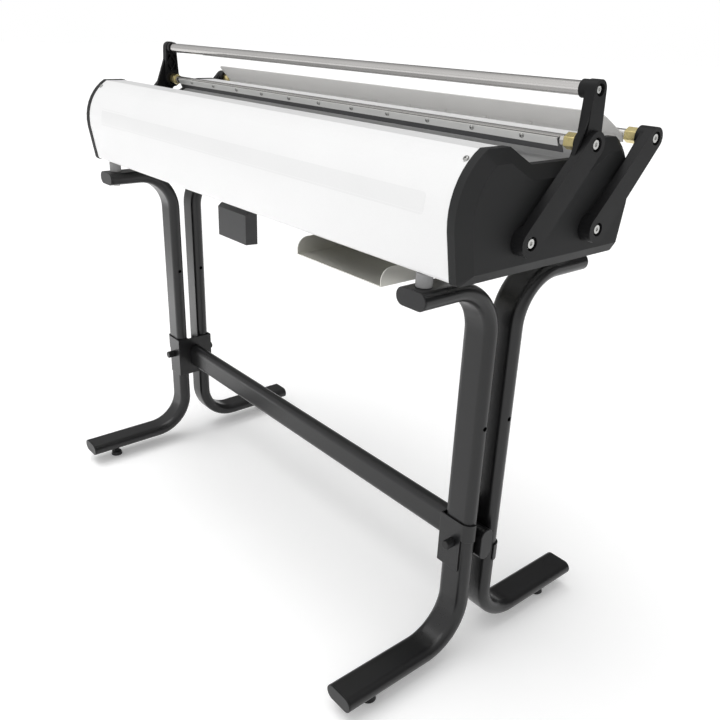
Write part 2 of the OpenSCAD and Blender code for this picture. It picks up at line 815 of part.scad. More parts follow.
// Right arm with the post of the handle bar, its gusset and its ribs
module front_right_arm() {
    pocket_depth = 6;
    color("#29292b") difference() {
        union() {
            link_x(front_pivot, pivot_boss_r, front_rod_at, rod_boss_r, limb_x, arm_t);
            rod_x(front_pivot, 2 * pivot_boss_r, arm_x - hub_len, hub_len);
            rod_x(front_rod_at, 2 * rod_boss_r, boss_x, boss_len);
            link_x(front_rod_at, rod_boss_r - 0.5, bar_at, post_w / 2, post_x, post_t);
            rod_x(bar_at, bar_boss_d, bar_boss_x, post_x - bar_boss_x + 1);
            gusset();
        }
        along_x(post_x - 1, pocket_depth + 1) post_pocket_2d();
        arm_bore(front_pivot, arm_x, arm_x - hub_len, shaft_d, shaft_end);
        arm_bore(front_rod_at, arm_x, boss_x, stud_d, stud_end);
        rod_x(bar_at, bar_d + 2 * fit_clear, bar_boss_x - 1, bar_seat + 1);
        rod_x(bar_at, bar_screw_d + 2 * tap_clear, bar_boss_x, bar_boss_len);
        rod_x(bar_at, bar_counterbore_d, post_x + post_t - counterbore_h, counterbore_h + 1);
    }
}

module front_left_arm() mirror([1, 0, 0]) front_right_arm();

// Gusset between limb and post: a thin web with a flange along its straight front edge
module gusset() {
    web_x = limb_x - 1;
    web_t = 3;
    flange_w = 7.5;
    flange_t = 4;
    high = bar_at + [-12, -18];
    low = front_rod_at + [-44.6, -30.7];
    inward = flange_t * left_of(unit(low - high));
    along_x(web_x, web_t) polygon([high, low, front_rod_at]);
    along_x(web_x, flange_w) polygon([high, low, low + inward, high + inward]);
}

// Pockets in the inner face of the post that leave a rim and a lozenge of ribs
module post_pocket_2d() {
    rib = 2.2;
    half = post_w / 2 - 2.5;
    low = front_rod_at.y + rod_boss_r + 2;
    high = bar_at.y - bar_boss_d / 2 - 3;
    mid = (low + high) / 2;
    y = bar_at.x;
    difference() {
        translate([y - half, low]) square([2 * half, high - low]);
        difference() {
            polygon([[y, low - 1], [y + half + 1, mid], [y, high + 1], [y - half - 1, mid]]);
            polygon([[y, low + 2 * rib], [y + half - rib, mid],
                     [y, high - 2 * rib], [y - half + rib, mid]]);
        }
    }
}

// Right rear arm: one limb with a long boss and a rib under it
module rear_right_arm() {
    rib_x = face_x + 1;
    rib_r = 9;
    rib_at = rear_pivot + 0.55 * arm_len * arm_dir;
    color("#29292b") difference() {
        union() {
            link_x(rear_pivot, pivot_boss_r, rear_rod_at, rear_boss_r, limb_x, arm_t);
            rod_x(rear_pivot, 2 * pivot_boss_r, arm_x - hub_len, hub_len);
            rod_x(rear_rod_at, 2 * rear_boss_r, boss_x, boss_len);
            link_x(rib_at, rib_r, rear_rod_at, rear_boss_r - 0.5, rib_x, limb_x - rib_x + 1);
        }
        arm_bore(rear_pivot, arm_x, arm_x - hub_len, shaft_d, shaft_end);
        arm_bore(rear_rod_at, arm_x, boss_x, stud_d, stud_end);
    }
}

module rear_left_arm() mirror([1, 0, 0]) rear_right_arm();

// Tapped hole of depth len for a screw of diameter d, into an end at x
module tap(at, x, d, len) rod_x(at, d + tap_clear, x - len - tap_spare, len + tap_spare + 1);

// Steel handle bar with a tapped hole in each end
module handle_bar() {
    color("#a8a6a4") difference() {
        rod_x(bar_at, bar_d, -bar_end, 2 * bar_end);
        both_ends() tap(bar_at, bar_end, bar_screw_d, rod_screw_len);
    }
}

// Rod with a milled flat at that distance from its axis, screw holes and a tapped stud at each end
module blade_rod(at, flat, half) {
    difference() {
        union() {
            rod_x(at, rod_d, -sleeve_x, 2 * sleeve_x);
            rod_x(at, stud_d, -stud_end, 2 * stud_end);
        }
        along_x(-half - 1, 2 * half + 2) translate(at + flat * sheet_front)
            rotate(sheet_lean) translate([-rod_d, -rod_d]) square([rod_d, 2 * rod_d]);
        screw_places(at, flat) translate([0, 0, -flat - 5])
            cylinder(d = blade_screw_d + tap_clear, h = flat + 6);
        both_ends() tap(at, stud_end, screw_d, rod_screw_len);
    }
}

// Places along a rod where screws hold its sheet, with z pointing out of the flat
module screw_places(at, flat) {
    seat = at + flat * sheet_front;
    for (i = [0:screw_count - 1])
        translate([(i - (screw_count - 1) / 2) * screw_pitch, seat.x, seat.y])
            rotate([90 + sheet_lean, 0, 0]) children();
}

module front_rod() color("#b4b2b0") blade_rod(front_rod_at, front_flat, blade_half);
module rear_rod() color("#b4b2b0") blade_rod(rear_rod_at, rear_flat, guide_half);

// Straight sheet of thickness t and width w on a rod's flat, its near face h above the flat
module flat_sheet(at, flat, h, t, w, half) {
    mid = at + (flat + h + t / 2) * sheet_front;
    difference() {
        along_x(-half, 2 * half)
            sheet_2d([mid - sheet_rise * sheet_down, mid + (w - sheet_rise) * sheet_down], t);
        screw_places(at, flat) translate([0, 0, -1]) cylinder(d = blade_screw_d + tap_clear, h = h + t + 2);
    }
}

// Front blade on the rod's flat, and the strip that clamps it
module front_blade()
    color("#6e6e70") flat_sheet(front_rod_at, front_flat, 0, blade_t, blade_w, blade_half);
module clamp_strip()
    color("#c9c9c7") flat_sheet(front_rod_at, front_flat, blade_t, strip_t, strip_w, strip_half);

// Rear guide plate: a flange on the rod's flat and a wide leaf bent forward and up
module guide_plate() {
    seat = rear_rod_at + (rear_flat + guide_t / 2) * sheet_front;
    bend = seat - sheet_rise * sheet_down;
    tip = bend + guide_w * [-cos(guide_slope), sin(guide_slope)];
    color("#9c9a98") difference() {
        along_x(-guide_half, 2 * guide_half)
            sheet_2d([bend + guide_flange * sheet_down, bend, tip], guide_t);
        screw_places(rear_rod_at, rear_flat)
            translate([0, 0, -1]) cylinder(d = blade_screw_d + tap_clear, h = guide_t + 2);
        both_ends() translate([guide_half, tip.x, tip.y]) rotate([-guide_slope, 0, 0])
            translate([0, 0, -5]) linear_extrude(10) leaf_corner_2d();
    }
}

// What is cut off the right end of the leaf: a slanted edge and a round corner, with y = 0 at the tip
module leaf_corner_2d() {
    slant = atan(guide_taper / guide_w);
    c = [-guide_taper + guide_round * (tan(slant) - 1 / cos(slant)), guide_round];
    t = c + guide_round * [cos(slant), -sin(slant)];
    polygon([t, [2, t.y], [2, guide_w], [0, guide_w]]);
    difference() {
        polygon([[c.x, -1], [2, -1], [2, t.y], t, c]);
        translate(c) circle(guide_round);
    }
}

// Button-head screws on a rod's flat, through sheets of thickness t in all
module sheet_screws(at, flat, t) {
    color("#d0d0d0") screw_places(at, flat) {
        translate([0, 0, t]) cylinder(d1 = 7, d2 = 5, h = 2.2);
        translate([0, 0, -flat - 4]) cylinder(d = blade_screw_d, h = flat + 5 + t);
    }
}

module strip_screws() sheet_screws(front_rod_at, front_flat, blade_t + strip_t);
module guide_screws() sheet_screws(rear_rod_at, rear_flat, guide_t);

// Brass hex sleeves on the studs of a rod, against the bosses of the arms
module hex_sleeves(at) {
    color("#c9a95a") both_ends() difference() {
        translate([sleeve_x, at.x, at.y]) rotate([0, 90, 0])
            cylinder(d = sleeve_af / cos(30), h = sleeve_len, $fn = 6);
        rod_x(at, stud_d + 2 * fit_clear, sleeve_x - 1, sleeve_len + 2);
    }
}

module front_sleeves() hex_sleeves(front_rod_at);
module rear_sleeves() hex_sleeves(rear_rod_at);

// Socket screw with a washer, seated at x in a counterbore, with its shank pointing in
module arm_screw(at, x, d, len) {
    rod_x(at, 2.1 * d, x, washer_t);
    difference() {
        rod_x(at, 1.6 * d, x + washer_t / 2, d / 2 + washer_t / 2);
        translate([x + d / 4 + washer_t, at.x, at.y]) rotate([0, 90, 0])
            cylinder(d = 0.8 * d, h = d, $fn = 6);
    }
    rod_x(at, d, x - len, len + 1);
}

module front_arm_screws() {
    color("#c9c9c9") both_ends() {
        arm_screw(front_pivot, arm_x - counterbore_h, screw_d, pivot_screw_len);
        arm_screw(front_rod_at, arm_x - counterbore_h, screw_d, rod_screw_len);
        arm_screw(bar_at, arm_x - post_step - counterbore_h, bar_screw_d, rod_screw_len);
    }
}

module rear_arm_screws() {
    color("#c9c9c9") both_ends() {
        arm_screw(rear_pivot, arm_x - counterbore_h, screw_d, pivot_screw_len);
        arm_screw(rear_rod_at, arm_x - counterbore_h, screw_d, rod_screw_len);
    }
}

// Pivot shafts, from inside the side plates out into the hubs
module pivot_shafts(at) {
    shaft_x = cover_half - plate_t - 8;
    color("#b4b2b0") both_ends() difference() {
        rod_x(at, shaft_d, shaft_x, shaft_end - shaft_x);
        tap(at, shaft_end, screw_d, pivot_screw_len);
    }
}

module front_shafts() pivot_shafts(front_pivot);
module rear_shafts() pivot_shafts(rear_pivot);

// Cranks on the pivot shafts, each with its pin
module cranks(at) {
    pin_at = at + crank_len * crank_dir;
    color("#7b7d80") both_ends() {
        difference() {
            link_x(at, shaft_d / 2 + 5, pin_at, link_r, crank_x, crank_t);
            rod_x(at, shaft_d + 2 * fit_clear, crank_x - 1, crank_t + 2);
        }
        rod_x(pin_at, pin_d, crank_x + crank_t - 1, link_t + 5);
    }
}

module front_cranks() cranks(front_pivot);
module rear_cranks() cranks(rear_pivot);

// Right link between the two cranks, which keeps the levers parallel
module right_link() {
    ends = [for (at = [front_pivot, rear_pivot]) at + crank_len * crank_dir];
    color("#9fa1a4") difference() {
        link_x(ends[0], link_r, ends[1], link_r, link_at, link_t);
        for (at = ends) rod_x(at, pin_d + 2 * run_clear, link_at - 1, link_t + 2);
    }
}

module left_link() mirror([1, 0, 0]) right_link();

front_left_leg();
front_right_leg();
rear_left_leg();
rear_right_leg();
leg_end_plugs();
cross_beam();
beam_end_plugs();
left_bracket();
right_bracket();
front_left_knob();
front_right_knob();
rear_left_knob();
rear_right_knob();
front_left_foot();
front_right_foot();
rear_left_foot();
rear_right_foot();
foot_inserts();
rubber_buffers();
housing_bolts();
left_end_cap();
right_end_cap();
left_side_plate();
right_side_plate();
pivot_bushes();
front_cover();
rear_cover();
base_plate();
trough_sheet();
tie_rods();
label_strip();
cover_screws();
tray();
tray_screws();
grip_block();
block_hanger();
hanger_screws();
front_left_arm();
front_right_arm();
handle_bar();
front_rod();
front_blade();
clamp_strip();
strip_screws();
front_sleeves();
front_arm_screws();
front_shafts();
front_cranks();
rear_left_arm();
rear_right_arm();
rear_rod();
guide_plate();
guide_screws();
rear_sleeves();
rear_arm_screws();
rear_shafts();
rear_cranks();
left_link();
right_link();
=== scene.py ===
"""Looks of the plan folding machine: its CAD frame dressed with edges, screws, finishes, light and camera."""
import json
import math

import bmesh
import bpy
import numpy as np
from mathutils import Matrix, Vector


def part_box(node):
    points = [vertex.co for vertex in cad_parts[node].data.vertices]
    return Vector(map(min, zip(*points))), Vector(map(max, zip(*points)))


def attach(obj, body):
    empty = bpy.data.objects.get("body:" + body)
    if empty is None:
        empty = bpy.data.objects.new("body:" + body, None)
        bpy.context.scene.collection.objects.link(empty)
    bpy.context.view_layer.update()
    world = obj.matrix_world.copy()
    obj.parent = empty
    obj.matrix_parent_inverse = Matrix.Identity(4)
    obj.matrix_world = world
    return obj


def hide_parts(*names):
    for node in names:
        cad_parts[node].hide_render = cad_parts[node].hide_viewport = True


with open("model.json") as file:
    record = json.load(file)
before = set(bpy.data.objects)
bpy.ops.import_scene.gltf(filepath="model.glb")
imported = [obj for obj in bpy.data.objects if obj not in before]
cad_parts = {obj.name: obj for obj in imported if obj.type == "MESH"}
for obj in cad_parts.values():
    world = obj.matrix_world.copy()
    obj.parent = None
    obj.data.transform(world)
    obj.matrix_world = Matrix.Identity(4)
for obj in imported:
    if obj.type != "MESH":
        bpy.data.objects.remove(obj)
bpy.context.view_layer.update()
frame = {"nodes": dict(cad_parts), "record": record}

MM = 0.001
ENDS = ("front", "rear")
SIDES = ("left", "right")
bodies = frame["record"]["behaviour"]["bodies"]
body_with = {node: body for body, nodes in bodies.items() for node in nodes}


# Materials

# The sum of two noises, each between 0 and 1, lies mostly in this range.
NOISE_SUM = {"From Min": 0.6, "From Max": 1.4}


def linear(code):
    """sRGB hex colour as linear RGBA."""
    parts = [int(code[i:i + 2], 16) / 255 for i in (1, 3, 5)]
    return [c / 12.92 if c <= 0.04045 else ((c + 0.055) / 1.055) ** 2.4 for c in parts] + [1.0]


def add(tree, kind, inputs=None, **settings):
    """Adds a node with its settings, and fills its inputs with values or with other nodes' outputs."""
    node = tree.nodes.new(kind)
    for key, value in settings.items():
        setattr(node, key, value)
    for key, value in (inputs or {}).items():
        if isinstance(value, bpy.types.NodeSocket):
            tree.links.new(value, node.inputs[key])
        else:
            node.inputs[key].default_value = value
    return node


def finish(name, dark, light, rough, grain_mm, bump_mm, patch_mm,
           stretch=(1, 1, 1), metallic=0.0, **sockets):
    """A surface with a grain of grain_mm over patches of patch_mm. Together they move its colour between two
    tones and its roughness between two values. The grain stands bump_mm high, and stretch draws it out."""
    material = bpy.data.materials.new(name)
    material.use_nodes = True
    tree = material.node_tree
    shader = tree.nodes["Principled BSDF"]
    place = add(tree, "ShaderNodeTexCoord").outputs["Object"]
    drawn = add(tree, "ShaderNodeMapping", {"Vector": place, "Scale": [1 / s for s in stretch]})
    grain = add(tree, "ShaderNodeTexNoise",
                {"Vector": drawn.outputs["Vector"], "Scale": 1 / (grain_mm * MM), "Detail": 3.0,
                 "Roughness": 0.6}).outputs["Fac"]
    patches = add(tree, "ShaderNodeTexNoise",
                  {"Vector": place, "Scale": 1 / (patch_mm * MM), "Detail": 4.0,
                   "Roughness": 0.55}).outputs["Fac"]
    both = add(tree, "ShaderNodeMath", {0: grain, 1: patches}, operation="ADD").outputs["Value"]
    tone = add(tree, "ShaderNodeMapRange", {"Value": both, **NOISE_SUM}).outputs["Result"]
    colour = add(tree, "ShaderNodeMix", {"Factor": tone, "A": linear(dark), "B": linear(light)},
                 data_type="RGBA")
    gloss = add(tree, "ShaderNodeMapRange",
                {"Value": both, **NOISE_SUM, "To Min": rough[0], "To Max": rough[1]})
    relief = add(tree, "ShaderNodeBump", {"Height": grain, "Distance": bump_mm * MM, "Strength": 1.0})
    tree.links.new(colour.outputs[2], shader.inputs["Base Color"])
    tree.links.new(gloss.outputs["Result"], shader.inputs["Roughness"])
    tree.links.new(relief.outputs["Normal"], shader.inputs["Normal"])
    shader.inputs["Metallic"].default_value = metallic
    for key, value in sockets.items():
        shader.inputs[key.replace("_", " ")].default_value = value
    return material


# Moulded, blasted and brushed grain is drawn coarser than the real one, as coarse as it needs to show.

# White powder coat: a clean, slightly soft white with a fine orange-peel sheen.
white_coat = finish("white_powder_coat", "#E4E4E4", "#E8E8E8", rough=(0.36, 0.44),
                    grain_mm=2.4, bump_mm=0.012, patch_mm=140)
# White polyester foil of the blank label: a shade darker and glossier than the coat under it.
label_foil = finish("white_label_foil", "#DFDFDF", "#E2E2E2", rough=(0.3, 0.34),
                    grain_mm=2.4, bump_mm=0.003, patch_mm=160)
# Black powder coat on steel tube: satin, with a fine pebble that spreads the highlights.
black_coat = finish("black_powder_coat", "#0F0F10", "#141415", rough=(0.26, 0.34),
                    grain_mm=1.8, bump_mm=0.016, patch_mm=90, Specular_IOR_Level=0.46)
# Black ABS of the end caps, with a spark-eroded mould grain: dark grey, even and matt.
black_abs = finish("moulded_black_abs", "#191A1A", "#202021", rough=(0.58, 0.68),
                   grain_mm=1.2, bump_mm=0.018, patch_mm=70, Specular_IOR_Level=0.3)
# Glass-filled nylon of the arms: a little darker and smoother than the caps.
black_nylon = finish("moulded_black_nylon", "#111112", "#161617", rough=(0.4, 0.5),
                     grain_mm=1.4, bump_mm=0.012, patch_mm=50, Specular_IOR_Level=0.2)
# Black polypropylene of knobs and feet: dark with a low waxy sheen.
black_pp = finish("moulded_black_polypropylene", "#121213", "#181819", rough=(0.38, 0.5),
                  grain_mm=1.2, bump_mm=0.016, patch_mm=30, Specular_IOR_Level=0.35)
# Grey polyethylene plugs: dull dark grey, lighter than the tube they close.
grey_plug = finish("grey_polyethylene", "#1C1C1D", "#232324", rough=(0.36, 0.46),
                   grain_mm=1.2, bump_mm=0.014, patch_mm=25, Specular_IOR_Level=0.32)
# Dark grey ABS of the grip block: a coarse mould grain that takes the light evenly.
grey_abs = finish("moulded_grey_abs", "#2E2E2F", "#39393A", rough=(0.46, 0.58),
                  grain_mm=1.6, bump_mm=0.03, patch_mm=20, Specular_IOR_Level=0.4)
# Grey rubber of the buffers: matt with a dusty bloom.
grey_rubber = finish("grey_rubber", "#7F7F7F", "#919191", rough=(0.72, 0.85),
                     grain_mm=0.9, bump_mm=0.03, patch_mm=12)
# Polished stainless bars and shafts: smooth, with a faint haze along X and a long clean highlight.
polished_steel = finish("polished_stainless_steel", "#C4C2C0", "#CAC8C6", rough=(0.18, 0.22),
                        grain_mm=3.0, bump_mm=0.0003, patch_mm=80, stretch=(60, 1, 1), metallic=1.0)
# Brushed aluminium of the trough: bright, with brushing lines along X.
brushed_aluminium = finish("brushed_aluminium", "#B4B4B4", "#C2C2C2", rough=(0.36, 0.46),
                           grain_mm=1.6, bump_mm=0.002, patch_mm=110, stretch=(70, 1, 1), metallic=1.0)
# Hardened blade steel: dark grey, brushed along its length.
blade_steel = finish("dark_blade_steel", "#58585A", "#666667", rough=(0.34, 0.44),
                     grain_mm=1.2, bump_mm=0.002, patch_mm=50, stretch=(60, 1, 1), metallic=1.0)
# Bead-blasted aluminium of the clamp strip: pale grey and even.
pale_aluminium = finish("blasted_aluminium", "#E4E4E2", "#ECECEA", rough=(0.4, 0.5),
                        grain_mm=0.8, bump_mm=0.003, patch_mm=40, stretch=(20, 1, 1), metallic=0.8)
# Grey-coated sheet of the guide plate and its screws: light neutral grey, matt, with a broad soft sheen.
grey_sheet = finish("matt_grey_coat", "#D4D3D1", "#DBDAD8", rough=(0.5, 0.6),
                    grain_mm=1.4, bump_mm=0.003, patch_mm=120)
# Brushed stainless of the tray: warm grey with lines along X.
brushed_stainless = finish("brushed_stainless_steel", "#D0CFC8", "#DAD9D2", rough=(0.36, 0.46),
                           grain_mm=1.2, bump_mm=0.002, patch_mm=60, stretch=(50, 1, 1), metallic=0.75)
# Turned brass of sleeves and bushes: pale warm yellow with fine rings about X.
turned_brass = finish("turned_brass", "#D0C084", "#DED09A", rough=(0.24, 0.34),
                      grain_mm=0.7, bump_mm=0.003, patch_mm=15, stretch=(1, 40, 40), metallic=1.0)
# Zinc-plated steel of bolts, inner sheets, cranks and links: bright, with a faint cloudy bloom.
zinc_plate = finish("zinc_plated_steel", "#B8B8B6", "#C8C8C6", rough=(0.2, 0.32),
                    grain_mm=2.0, bump_mm=0.002, patch_mm=10, metallic=1.0)
# Bright steel dulled by handling, on the screws of strip and covers: mid grey, so that the heads stand out.
dull_steel = finish("dull_bright_steel", "#A0A09E", "#B0B0AE", rough=(0.3, 0.42),
                    grain_mm=1.0, bump_mm=0.003, patch_mm=8, metallic=1.0)


# Pieces made from the CAD frame

# Points nearer than WELD are joined, and faces that turn by less than FLAT become one.
WELD = 0.002 * MM
FLAT = math.radians(0.6)

# The blank label has corners of LABEL_CORNER, and edges that slope over LABEL_SLOPE down to a rim that stands
# LABEL_RIM above the cover. Its back sinks LABEL_SUNK into the cover. It is cut in strips of LABEL_STRIP, and
# a cut snaps to points that are nearer than LABEL_SNAP.
LABEL_CORNER = 6 * MM
LABEL_CORNER_STEPS = 6
LABEL_SLOPE = 3 * MM
LABEL_RIM = 0.1 * MM
LABEL_SUNK = 0.2 * MM
LABEL_STRIP = 2.5 * MM
LABEL_SNAP = 0.0001 * MM


def in_scene(name, data):
    """A new object in the scene."""
    obj = bpy.data.objects.new(name, data)
    bpy.context.scene.collection.objects.link(obj)
    return obj


def stand_for(piece, node):
    """Puts a piece in a CAD node's place, with the node's body."""
    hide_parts(node)
    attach(piece, body_with[node])


def filled(mesh, shell):
    """Puts a shell's faces, turned outward, into a mesh, and frees the shell."""
    bmesh.ops.recalc_face_normals(shell, faces=shell.faces)
    shell.to_mesh(mesh)
    shell.free()
    return mesh


def merged(node):
    """Copy of a CAD node's mesh with its triangles joined and its flat faces made whole."""
    mesh = frame["nodes"][node].data.copy()
    shell = bmesh.new()
    shell.from_mesh(mesh)
    bmesh.ops.remove_doubles(shell, verts=shell.verts, dist=WELD)
    bmesh.ops.dissolve_limit(shell, angle_limit=FLAT, verts=shell.verts, edges=shell.edges)
    return filled(mesh, shell)


def rounded(corners):
    """Outline through corners (x, z, radius) of a right-angled polygon, its corners rounded."""
    quarter = [math.radians(90 * step / LABEL_CORNER_STEPS) for step in range(LABEL_CORNER_STEPS + 1)]
    points = []
    for i, (x, z, radius) in enumerate(corners):
        here = Vector((x, z))
        back = (Vector(corners[i - 1][:2]) - here).normalized() * radius
        ahead = (Vector(corners[(i + 1) % len(corners)][:2]) - here).normalized() * radius
        turns = quarter if radius else [0]
        points += [here + back * (1 - math.sin(turn)) + ahead * (1 - math.cos(turn)) for turn in turns]
    return points


def label_mesh():
    """The blank label, bent round the front cover: a plate and a band with soft sloping edges, cut in strips
    so that it shades evenly."""
    solid = frame["nodes"]["label_strip"].data
    points = np.empty(3 * len(solid.vertices))
    solid.vertices.foreach_get("co", points)
    x, y, z = points.reshape(-1, 3).T
    terms = np.stack([2 * y, 2 * z, np.ones_like(y)], axis=1)
    axis_y, axis_z, _ = np.linalg.lstsq(terms, y * y + z * z, rcond=None)[0]
    reach = np.hypot(y - axis_y, z - axis_z)
    (left, _, low), (right, _, high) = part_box("label_strip")
    in_band = x > 0.5 * (left + right)
    band_low, band_high = z[in_band].min(), z[in_band].max()
    plate_right = x[z > band_high + LABEL_STRIP].max()
    outline = rounded([(left, low, LABEL_CORNER), (plate_right, low, LABEL_CORNER),
                       (plate_right, band_low, 0), (right, band_low, LABEL_CORNER),
                       (right, band_high, LABEL_CORNER), (plate_right, band_high, 0),
                       (plate_right, high, LABEL_CORNER), (left, high, LABEL_CORNER)])
    shell = bmesh.new()
    shell.faces.new([shell.verts.new((px, 0, pz)) for px, pz in outline])
    bmesh.ops.inset_region(shell, faces=shell.faces[:], thickness=LABEL_SLOPE, use_even_offset=True)
    for level in np.arange(low + LABEL_STRIP, high, LABEL_STRIP):
        bmesh.ops.bisect_plane(shell, geom=shell.verts[:] + shell.edges[:] + shell.faces[:],
                               dist=LABEL_SNAP, plane_co=(0, 0, level), plane_no=(0, 0, 1))
    # Until it is bent, y holds each point's distance from the axis of the cover's curve.
    for vert in shell.verts:
        vert.co.y = reach.min() + LABEL_RIM if vert.is_boundary else reach.max()
    lifted = bmesh.ops.extrude_face_region(shell, geom=shell.faces[:])["geom"]
    outer = {item for item in lifted if isinstance(item, bmesh.types.BMVert)}
    for vert in shell.verts:
        radius = vert.co.y if vert in outer else reach.min() - LABEL_SUNK
        vert.co.y = axis_y - math.sqrt(radius ** 2 - (vert.co.z - axis_z) ** 2)
    return filled(bpy.data.meshes.new("label_strip_piece"), shell)


def plain_mesh(obj):
    """Makes an object's modifiers real in its mesh."""
    graph = bpy.context.evaluated_depsgraph_get()
    made = bpy.data.meshes.new_from_object(obj.evaluated_get(graph))
    obj.modifiers.clear()
    obj.data = made


def dress(node, material, edge_mm=0.0, steps=2, crease=32, mesh=None):
    """Stands for a CAD node: softened edges, smooth curves, flat faces that shade flat, and its finish.
    Edges that turn by more than crease degrees are softened."""
    piece = in_scene(node + "_piece", mesh or merged(node))
    piece.data.shade_smooth()
    piece.data.set_sharp_from_angle(angle=math.radians(crease))
    if edge_mm:
        edges = piece.modifiers.new("edges", "BEVEL")
        edges.width = edge_mm * MM
        edges.segments = steps
        edges.limit_method = "ANGLE"
        edges.angle_limit = math.radians(crease)
        edges.use_clamp_overlap = True
    flats = piece.modifiers.new("flats", "WEIGHTED_NORMAL")
    flats.keep_sharp = True
    plain_mesh(piece)
    piece.data.materials.clear()
    piece.data.materials.append(material)
    stand_for(piece, node)


# The stand
for end in ENDS:
    for side in SIDES:
        dress(f"{end}_{side}_leg", black_coat)
        dress(f"{end}_{side}_knob", black_pp, edge_mm=0.8)
        dress(f"{end}_{side}_foot", black_pp, edge_mm=0.8)
for side in SIDES:
    dress(side + "_bracket", black_coat, edge_mm=0.9)
dress("leg_end_plugs", grey_plug, edge_mm=1.0)
dress("cross_beam", black_coat)
dress("beam_end_plugs", grey_plug, edge_mm=1.0)
dress("foot_inserts", zinc_plate, edge_mm=0.3)
dress("rubber_buffers", grey_rubber, edge_mm=1.5, steps=3)
dress("housing_bolts", zinc_plate, edge_mm=0.5)

# The housing, with its label, tray and grip block
for side in SIDES:
    dress(side + "_end_cap", black_abs, edge_mm=1.6, steps=3, crease=24)
    dress(side + "_side_plate", zinc_plate)
for end in ENDS:
    dress(end + "_cover", white_coat, edge_mm=0.6)
dress("pivot_bushes", turned_brass, edge_mm=0.3)
dress("base_plate", zinc_plate, edge_mm=0.5)
dress("trough_sheet", brushed_aluminium, edge_mm=0.5)
dress("tie_rods", zinc_plate)
dress("label_strip", label_foil, mesh=label_mesh())
dress("tray", brushed_stainless, edge_mm=0.4)
dress("tray_screws", zinc_plate)
dress("grip_block", grey_abs, edge_mm=3.5, steps=4)
dress("block_hanger", zinc_plate, edge_mm=0.5)
dress("hanger_screws", zinc_plate)

# The levers and the links between them
for end in ENDS:
    for side in SIDES:
        dress(f"{end}_{side}_arm", black_nylon, edge_mm=1.8, steps=3)
    dress(end + "_rod", polished_steel, edge_mm=0.5)
    dress(end + "_sleeves", turned_brass, edge_mm=0.8)
    dress(end + "_shafts", polished_steel, edge_mm=0.5)
    dress(end + "_cranks", zinc_plate, edge_mm=0.4)
    dress(end + "_arm_screws", zinc_plate, edge_mm=0.5)
for side in SIDES:
    dress(side + "_link", zinc_plate, edge_mm=0.4)
dress("handle_bar", polished_steel, edge_mm=0.6)
dress("front_blade", blade_steel, edge_mm=0.2)
dress("clamp_strip", pale_aluminium, edge_mm=0.4)
dress("guide_plate", grey_sheet, edge_mm=0.3)


# Small screws, set on points by a node tree

# The points round a screw, the length of its neck in mm, and the turn from which an edge shades sharp.
SCREW_STEPS = 24
SCREW_NECK = 3
SCREW_CREASE = math.radians(34)
# Each screw is turned this much further, in radians, than the one before.
SCREW_SPIN = 0.7
# A point belongs to the rim of a screw's head from this share of its widest radius.
RIM_SHARE = 0.97
# Seats are put in order by x, y and z to this many digits of a metre, so that every run has the same order.
SEAT_DIGITS = 5


def screw_shape(name, head_r, head_h, socket_r):
    """Button head with a hex socket and a short neck, along +Z, with its seat at z = 0, in mm."""
    neck_r = 0.5 * head_r
    outside = [(neck_r, -SCREW_NECK), (neck_r, 0), (head_r, 0), (head_r, 0.3 * head_h),
               (0.93 * head_r, 0.62 * head_h), (0.78 * head_r, 0.88 * head_h), (0.62 * head_r, head_h)]
    socket = [(1.05 * socket_r, head_h), (socket_r, 0.92 * head_h), (socket_r, 0.3 * head_h)]
    rings = [(False, *ring) for ring in outside] + [(True, *ring) for ring in socket]
    shell = bmesh.new()
    loops = []
    for hexed, radius, height in rings:
        loop = []
        for i in range(SCREW_STEPS):
            turn = 2 * math.pi * i / SCREW_STEPS
            six = math.cos(math.pi / 6) / math.cos((turn + math.pi / 6) % (math.pi / 3) - math.pi / 6)
            r = radius * (six if hexed else 1) * MM
            loop.append(shell.verts.new((r * math.cos(turn), r * math.sin(turn), height * MM)))
        loops.append(loop)
    for low, high in zip(loops, loops[1:]):
        for i in range(SCREW_STEPS):
            after = (i + 1) % SCREW_STEPS
            shell.faces.new((low[i], low[after], high[after], high[i]))
    shell.faces.new(loops[-1])
    shell.faces.new(loops[0][::-1])
    mesh = filled(bpy.data.meshes.new(name), shell)
    mesh.shade_smooth()
    mesh.set_sharp_from_angle(angle=SCREW_CREASE)
    return in_scene(name, mesh)


